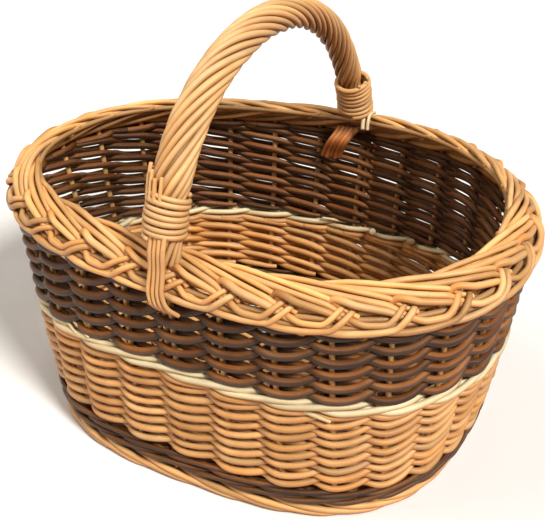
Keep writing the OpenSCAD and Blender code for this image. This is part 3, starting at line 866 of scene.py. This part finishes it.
tips = Rods()
for ph, l0, l1, r in ((238, -8, 17, 1.9), (222, -8, 10, 2.0), (206, -8, 13, 1.8), (188, -8, 8, 1.9), (170, -8, 10, 1.6)):
    l = LN1 + np.linspace(l0, l1, 14)
    q = np.linspace(0, 1, 14)
    P = around(l, 15.6 + 2.2 * q, np.radians(ph + 4 * q))
    tips.rod(P, r * (1 - 0.15 * q), along(vary(HAND * 1.15, 0.06, 0.04), q, 0.03), m=12)
tips.build("near_wrap_tips", M_HANDLE, ["near_wrap_tips"])
ftips = Rods()
for ph, l0, l1, r in ((60, 24, 38, 1.6), (84, 22, 37, 1.5), (108, 24, 36, 1.5), (250, 26, 40, 1.8)):
    l = LF0 - np.linspace(l0, l1, 12)
    q = np.linspace(0, 1, 12)
    P = around(l, 15.0 + 2.2 * q, np.full(12, math.radians(ph)))
    ftips.rod(P, r, along(vary(WHITE, 0.04, 0.03), q, 0.03), m=12)
ftips.build("far_wrap_tips", M_HANDLE, ["far_wrap_tips"])

# ------------------------------------------------------------------ base
BZ = 11.0
BC = np.array([0.1 - OX, 6.7 - OY])
CR, SR = math.cos(math.radians(3.0)), math.sin(math.radians(3.0))


def in_base(x, y, z):
    return np.stack([BC[0] + CR * x - SR * y, BC[1] + SR * x + CR * y, BZ + z], -1)


def cross_half(x):
    return 149.4 * (1 - (abs(x) / 170.4) ** 2.8) ** (1 / 2.8) - 1.0


CX = [i * 33.0 for i in range(-4, 5)]
bs = Rods()
for x in CX:
    y = np.linspace(-cross_half(x), cross_half(x), 60)
    w = np.abs(y) < 14
    bs.rod(in_base(x + 0 * y, y, 0 * y), 4.0 - 0.9 * np.abs(y) / 150, along(vary(BUFF, 0.06), y / 60, 0.06), m=12)
bs.build("base_cross_sticks", M_BASE, ["base_cross_sticks"])
bl = Rods()
for y0 in (-9, -3, 3, 9):
    x = np.linspace(-169, 169, 90)
    fan = np.clip((np.abs(x) - 136) / 28, 0, 1) ** 1.5
    y = y0 * (1 + 6.4 * fan)
    bl.rod(in_base(x * (1 - 0.02 * fan * abs(y0) / 3), y, (4.6 if y0 in (-9, 3) else -4.6) * (1 - fan) + 0 * x), 2.9, along(vary(BUFF, 0.06), x / 60, 0.06), m=12)
bl.build("base_long_sticks", M_BASE, ["base_long_sticks"])

bw = Rods()
ang = np.radians(np.arange(0, 361, 1.5))
rows = 24
for r in range(rows):
    f = (r + 0.5) / rows
    # from a long slot round the sticks out to the oval of the foot
    ox_, oy_ = Rp(ang, 184.9 - 15.6, 163.9 - 15.6, 2.8) * np.cos(ang), Rp(ang, 184.9 - 15.6, 163.9 - 15.6, 2.8) * np.sin(ang)
    ix_, iy_ = 137.0 * np.sign(np.cos(ang)) * np.abs(np.cos(ang)) ** 0.6, 14.5 * np.sign(np.sin(ang)) * np.abs(np.sin(ang)) ** 0.6
    x = ix_ + (ox_ - ix_) * f
    y = iy_ + (oy_ - iy_) * f
    # crossing count: nine cross sticks a side and four fanned sticks an end
    cxs = sorted(CX)
    ph = np.zeros(len(ang))
    cum = []
    for i in range(len(ang)):
        a = ang[i]
        if abs(x[i]) < 132 + 8:
            c = (x[i] - cxs[0]) / 33.0
            c = 8 - c if y[i] > 0 else 9 + 4 + c + 0.0
        elif x[i] > 0:
            c = -4 * (0.5 - (y[i] / (2 * max(14.5 + (oy_.max() - 14.5) * f, 1))) * 1.0) + 0.0
            c = c
        else:
            c = 8 + 4 * (0.5 - y[i] / (2 * max(14.5 + (oy_.max() - 14.5) * f, 1)))
        cum.append(c)
    zz = 3.4 * np.cos(math.pi * (np.array(cum) + r))
    kz = np.ones(5) / 5
    zz = np.convolve(np.concatenate([zz[-3:-1], zz, zz[1:3]]), kz, mode="valid")[:len(ang)]
    P = in_base(x, y, zz)
    P[-1] = P[0]
    bw.rod(P, 2.15 * (1 + rng.normal(0, 0.04)), along(vary(BUFF * 0.95, 0.08, 0.05), ang * 6, 0.07), m=10)
bw.build("base_weave", M_BASE, ["base_weave"])

# ------------------------------------------------------------------ room, light, camera
def floor():
    me = bpy.data.meshes.new("floor")
    g = 24
    xs = np.linspace(-6, 6, g)
    v = [(x, y, -0.0002) for y in xs for x in xs]
    f = [(j * g + i, j * g + i + 1, (j + 1) * g + i + 1, (j + 1) * g + i) for j in range(g - 1) for i in range(g - 1)]
    me.from_pydata(v, [], f)
    m = bpy.data.materials.new("pale_floor")
    m.use_nodes = True
    b = m.node_tree.nodes["Principled BSDF"]
    b.inputs["Base Color"].default_value = (0.92, 0.92, 0.92, 1)
    b.inputs["Roughness"].default_value = 0.9
    b.inputs["Specular IOR Level"].default_value = 0.1
    me.materials.append(m)
    ob = bpy.data.objects.new("floor", me)
    bpy.context.scene.collection.objects.link(ob)


floor()


def area(name, loc, aim, size, power, col=(1, 1, 1)):
    ld = bpy.data.lights.new(name, "AREA")
    ld.energy = power
    ld.size = size
    ld.color = col
    ob = bpy.data.objects.new(name, ld)
    bpy.context.scene.collection.objects.link(ob)
    ob.location = loc
    d = Vector(aim) - Vector(loc)
    ob.rotation_euler = d.to_track_quat("-Z", "Y").to_euler()


AIM = (0, 0, 0.12)
ld = bpy.data.lights.new("key_light", "SUN")
ld.energy = 4.0
ld.angle = math.radians(16)
ld.color = (1.0, 0.97, 0.92)
sun = bpy.data.objects.new("key_light", ld)
bpy.context.scene.collection.objects.link(sun)
sun.rotation_euler = (-Vector((0.92, -0.42, 1.0))).to_track_quat("-Z", "Y").to_euler()
area("fill_light", (-1.3, -1.3, 1.0), AIM, 0.9, 9, (1.0, 0.91, 0.80))
area("top_light", (-0.55, -0.25, 1.9), AIM, 0.7, 8, (1.0, 0.93, 0.84))

world = bpy.data.worlds.new("studio")
bpy.context.scene.world = world
world.use_nodes = True
wb = world.node_tree.nodes["Background"]
wb.inputs["Color"].default_value = (1.0, 0.90, 0.78, 1.0)
wb.inputs["Strength"].default_value = 0.21

az, el, roll = math.radians(-30.153), math.radians(31.979), math.radians(0.343)
d = np.array([-math.sin(az) * math.cos(el), -math.cos(az) * math.cos(el), math.sin(el)])
pos = (np.array([-OX, -OY, 121.75]) + 1088.2 * d) * MM
fwd = -d
right = np.cross(fwd, [0, 0, 1.0])
right /= np.linalg.norm(right)
up = np.cross(right, fwd)
r2 = right * math.cos(roll) + up * math.sin(roll)
u2 = -right * math.sin(roll) + up * math.cos(roll)
cam = bpy.data.cameras.new("camera")
cam.sensor_width = 36
cam.lens = 36 * 1225 / 545
cam.shift_x = -(273.55 - 272.5) / 545
cam.shift_y = (275.76 - 260) / 545
cam.clip_start = 0.05
co = bpy.data.objects.new("camera", cam)
bpy.context.scene.collection.objects.link(co)
co.matrix_world = Matrix(((r2[0], u2[0], d[0], pos[0]), (r2[1], u2[1], d[1], pos[1]), (r2[2], u2[2], d[2], pos[2]), (0, 0, 0, 1)))
bpy.context.scene.camera = co
bpy.context.scene.view_settings.view_transform = "Standard"
bpy.context.scene.view_settings.look = "None"
